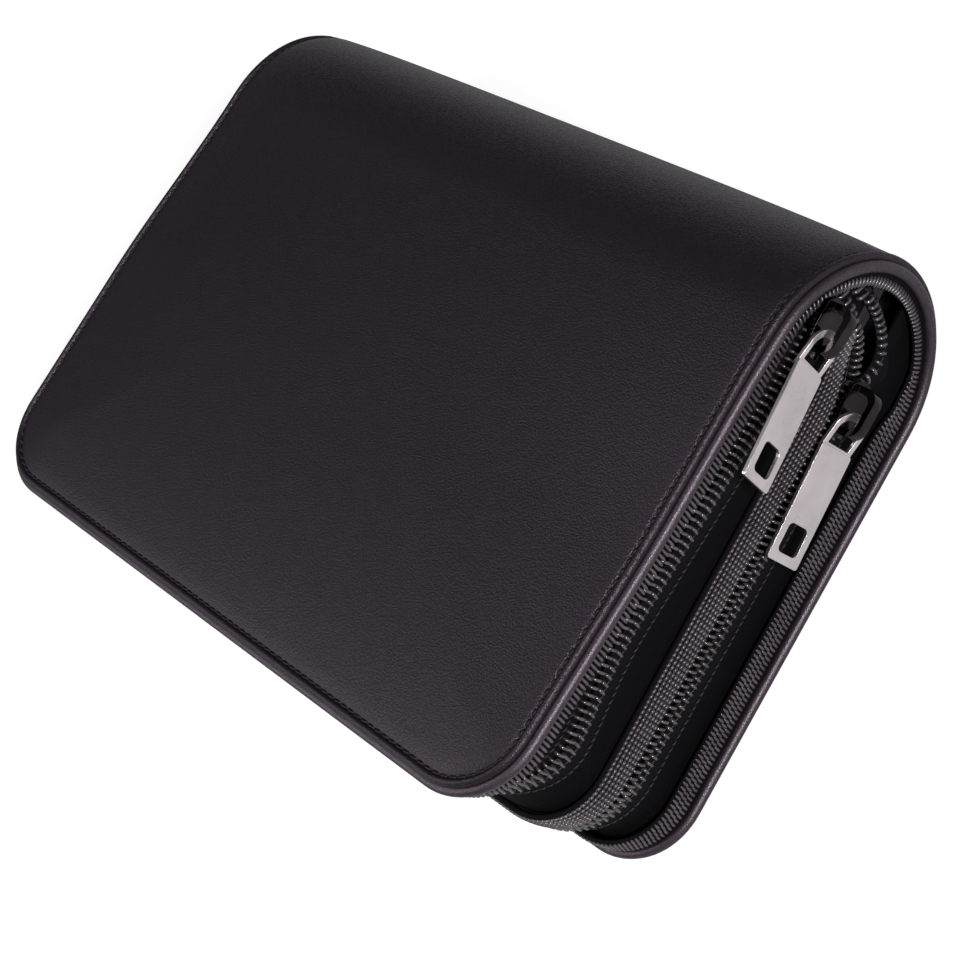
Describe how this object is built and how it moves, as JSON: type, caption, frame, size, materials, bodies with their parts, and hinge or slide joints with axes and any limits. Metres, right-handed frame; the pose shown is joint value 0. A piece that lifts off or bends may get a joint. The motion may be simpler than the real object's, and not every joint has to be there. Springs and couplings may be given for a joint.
{
  "type": "glasses organizer case",
  "caption": "Book-shaped zip case with padded leather covers, a rounded spine and a divider that makes two lined trays, each closed by its own zip with a slider and a flat pull.",
  "frame": {"origin": "middle of the rear cover's outer face, on the surface that the case lies on", "axes": "+X along the spine towards the end with the pulls, +Y towards the spine, +Z from the rear cover to the front cover"},
  "size_m": [0.1906, 0.134, 0.0646],
  "materials": {
    "leather": "fine grain, satin",
    "piping": "rolled edge, satin",
    "lining": "short brushed pile",
    "ribbed_binding": "ribbed weave",
    "woven_wall": "plain weave",
    "zip_tape": "herringbone tape",
    "zip_coil": "nylon coil",
    "board": "grey fibre board",
    "foam": "open foam",
    "slider_metal": "gloss dark plating",
    "pull_metal": "satin plating"
  },
  "bodies": {
    "rear_case": {"rear_cover_leather": "leather", "rear_cover_foam": "foam", "rear_cover_board": "board", "rear_cover_lining": "lining", "rear_spine_lining": "lining", "rear_piping": "piping", "rear_binding": "ribbed_binding", "rear_tray_wall": "woven_wall", "rear_tray_partition": "lining", "rear_zip_lower_tape": "zip_tape", "rear_zip_lower_coil": "zip_coil"},
    "divider_leaf": {"rear_zip_upper_tape": "zip_tape", "rear_zip_upper_coil": "zip_coil", "divider_board": "board", "divider_lower_lining": "lining", "divider_upper_lining": "lining", "divider_binding": "ribbed_binding", "spine_leather": "leather", "spine_lining": "lining", "spine_piping": "piping", "spine_binding": "ribbed_binding", "front_tray_wall": "woven_wall", "front_tray_partition": "lining", "front_zip_lower_tape": "zip_tape", "front_zip_lower_coil": "zip_coil"},
    "front_cover": {"front_zip_upper_tape": "zip_tape", "front_zip_upper_coil": "zip_coil", "front_cover_lining": "lining", "front_cover_board": "board", "front_cover_foam": "foam", "front_cover_leather": "leather", "front_spine_lining": "lining", "front_piping": "piping", "front_binding": "ribbed_binding"},
    "front_slider": {"front_slider": "slider_metal"},
    "front_pull": {"front_pull": "pull_metal"},
    "rear_slider": {"rear_slider": "slider_metal"},
    "rear_pull": {"rear_pull": "pull_metal"}
  },
  "joints": [
    {"name": "divider_hinge", "type": "hinge", "parent": "rear_case", "child": "divider_leaf", "pos_m": [0, 0.0675, 0.028], "axis": [-1, 0, 0], "range_deg": [0, 80]},
    {"name": "front_cover_hinge", "type": "hinge", "parent": "divider_leaf", "child": "front_cover", "pos_m": [0, 0.06018, 0.04707], "axis": [-1, 0, 0], "range_deg": [0, 105]},
    {"name": "front_zip_slide", "type": "slide", "parent": "divider_leaf", "child": "front_slider", "axis": [0, -0.9965, 0.0837], "range_m": [0, 0.08]},
    {"name": "front_pull_swing", "type": "hinge", "parent": "front_slider", "child": "front_pull", "pos_m": [0.0942, 0.04565, 0.0451], "axis": [0, 0.1184, 0.993], "range_deg": [0, 155]},
    {"name": "rear_zip_slide", "type": "slide", "parent": "rear_case", "child": "rear_slider", "axis": [0, -1, 0], "range_m": [0, 0.08]},
    {"name": "rear_pull_swing", "type": "hinge", "parent": "rear_slider", "child": "rear_pull", "pos_m": [0.0942, 0.0357, 0.0249], "axis": [-0.1392, -0.0173, 0.9901], "range_deg": [0, 160]}
  ]
}
